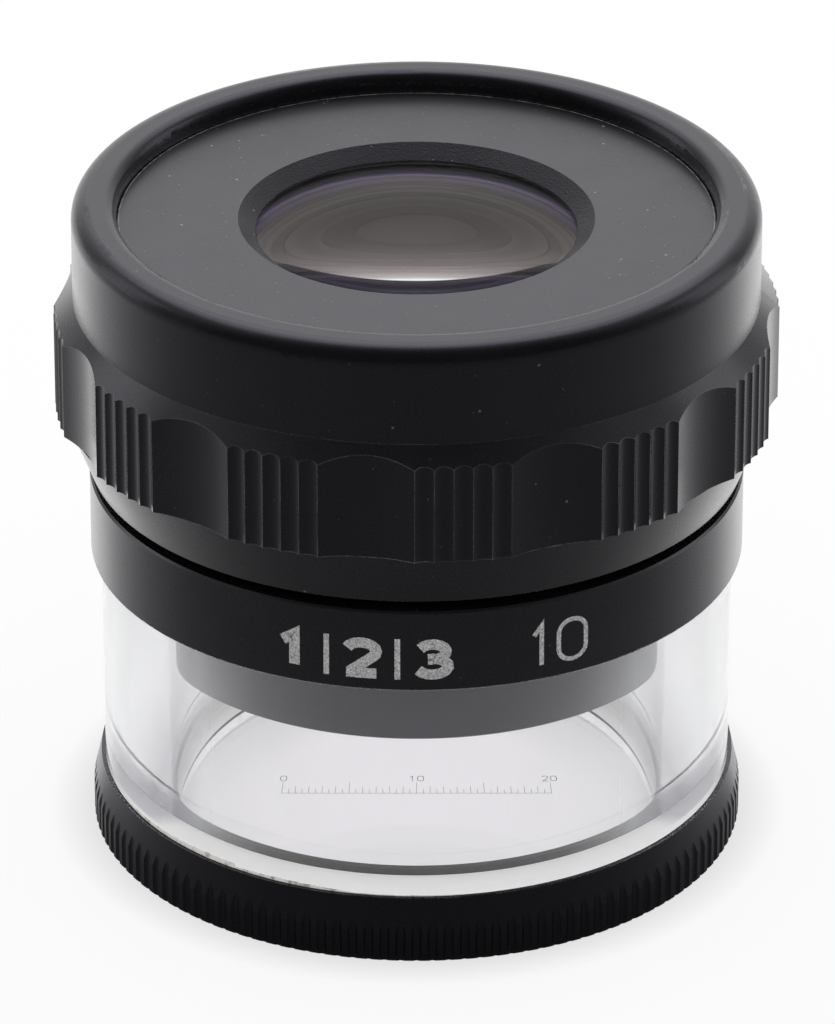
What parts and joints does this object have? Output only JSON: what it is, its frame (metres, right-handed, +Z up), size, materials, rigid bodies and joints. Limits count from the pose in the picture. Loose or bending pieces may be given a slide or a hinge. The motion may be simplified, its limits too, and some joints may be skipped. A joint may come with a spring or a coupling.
{
  "type": "scale loupe",
  "caption": "Round focusing magnifier on a clear acrylic skirt, with a knurled foot ring that holds a glass measuring scale and a fluted grip that turns to focus.",
  "frame": {"origin": "centre of the foot ring's resting face, on the optical axis", "axes": "+Z up along the optical axis towards the eye, -Y towards the front, where the lettering would be, +X to the right of it"},
  "size_m": [0.052, 0.052, 0.049],
  "materials": {
    "black_metal": "fine satin black anodised",
    "lens_black": "matt black anodised",
    "clear_acrylic": "polished clear acrylic",
    "lens_glass": "coated optical glass",
    "scale_glass": "polished flat glass with a fine black scale",
    "damping_rubber": "greased black rubber",
    "spring_steel": "blackened spring steel",
    "washer_nylon": "black nylon"
  },
  "bodies": {
    "base": {"clear_skirt": "clear_acrylic", "skirt_insert": "black_metal", "scale_gasket": "washer_nylon", "body_band": "black_metal", "travel_stop_ring": "spring_steel"},
    "damper": {"damping_ring": "damping_rubber"},
    "head": {"grip_ring": "black_metal", "lens_barrel": "lens_black", "barrel_lock_ring": "lens_black", "eyepiece_cap": "black_metal", "face_ring": "black_metal", "eye_lens": "lens_glass", "eye_lens_washer": "washer_nylon", "lens_spacer": "lens_black", "aperture_stop": "lens_black", "field_lens_crown": "lens_glass", "field_lens_flint": "lens_glass", "lens_retainer": "lens_black"},
    "scale": {"scale_plate": "scale_glass"},
    "foot_ring": {"base_ring": "black_metal"}
  },
  "joints": [
    {"name": "focus_rise", "type": "slide", "parent": "base", "child": "damper", "axis": [0, 0, 1], "range_m": [-0.00045, 0.003]},
    {"name": "focus_turn", "type": "hinge", "parent": "damper", "child": "head", "pos_m": [0, 0, 0], "axis": [0, 0, 1], "range_deg": [-40, 270]},
    {"name": "scale_drop", "type": "slide", "parent": "base", "child": "scale", "axis": [0, 0, -1], "range_m": [0, 0.0019]},
    {"name": "foot_ring_turn", "type": "hinge", "parent": "scale", "child": "foot_ring", "pos_m": [0, 0, 0], "axis": [0, 0, -1], "range_deg": [0, 900]}
  ],
  "couplings": [
    {"joint": "focus_rise", "follows": "focus_turn", "m_per_rad": 0.00063662},
    {"joint": "scale_drop", "follows": "foot_ring_turn", "m_per_rad": 0.00011937}
  ]
}
